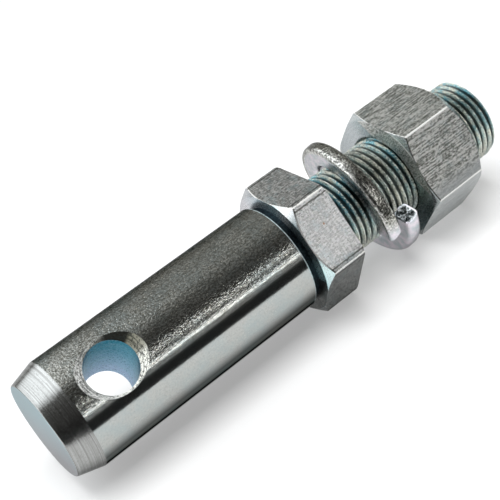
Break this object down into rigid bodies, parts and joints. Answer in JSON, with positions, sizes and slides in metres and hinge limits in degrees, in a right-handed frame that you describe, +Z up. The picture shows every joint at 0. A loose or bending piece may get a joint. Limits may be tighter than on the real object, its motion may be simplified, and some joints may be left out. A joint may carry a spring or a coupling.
{
  "type": "lift arm pin",
  "caption": "Steel lift arm pin: plain shank with a countersunk linch pin hole, hexagon collar and threaded stud with split spring washer and hexagon nut.",
  "frame": {"origin": "on the pin's axis, where the straight shank ends at the undercut beside the collar", "axes": "+X along the pin towards the threaded end, +Z up, with one flat of the collar facing straight down"},
  "size_m": [0.1361, 0.0366, 0.0355],
  "materials": {
    "plated_pin": "turned steel with a clear blue zinc plating",
    "plated_washer": "rolled spring steel with a bright zinc plating",
    "plated_nut": "drawn hexagon steel with a clear blue zinc plating"
  },
  "bodies": {
    "pin": {"pin_body": "plated_pin"},
    "washer": {"spring_washer": "plated_washer"},
    "nut": {"hex_nut": "plated_nut"}
  },
  "joints": [
    {"name": "nut_spin", "type": "hinge", "parent": "washer", "child": "nut", "pos_m": [0.0374, 0, 0], "axis": [1, 0, 0], "range_deg": [-1350, 5796]},
    {"name": "washer_travel", "type": "slide", "parent": "pin", "child": "washer", "axis": [1, 0, 0], "range_m": [-0.0069, 0.0293]}
  ],
  "couplings": [
    {"joint": "washer_travel", "follows": "nut_spin", "m_per_rad": 0.00028875}
  ]
}
